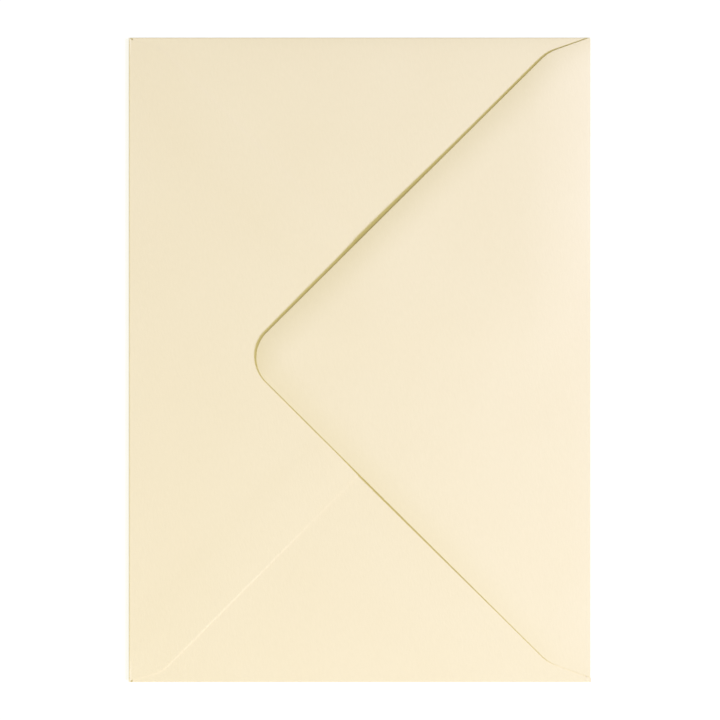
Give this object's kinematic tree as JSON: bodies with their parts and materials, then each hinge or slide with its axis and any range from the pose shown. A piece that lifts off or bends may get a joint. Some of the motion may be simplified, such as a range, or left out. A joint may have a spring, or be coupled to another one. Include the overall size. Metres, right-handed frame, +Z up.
{
  "type": "envelope",
  "caption": "Flat rectangular paper envelope for a greeting card, with a long pointed closing flap folded down over glued pointed flaps.",
  "frame": {"origin": "middle of the front panel's outer face, which is the underside the envelope lies on", "axes": "+Z up, out of the side that has the flaps; +X across the envelope, towards the fold of the closing flap; +Y along the envelope's long side"},
  "size_m": [0.132, 0.184, 0.002],
  "materials": {
    "paper": "smooth uncoated writing paper, vanilla"
  },
  "bodies": {
    "root": {"envelope": "paper"}
  },
  "joints": []
}
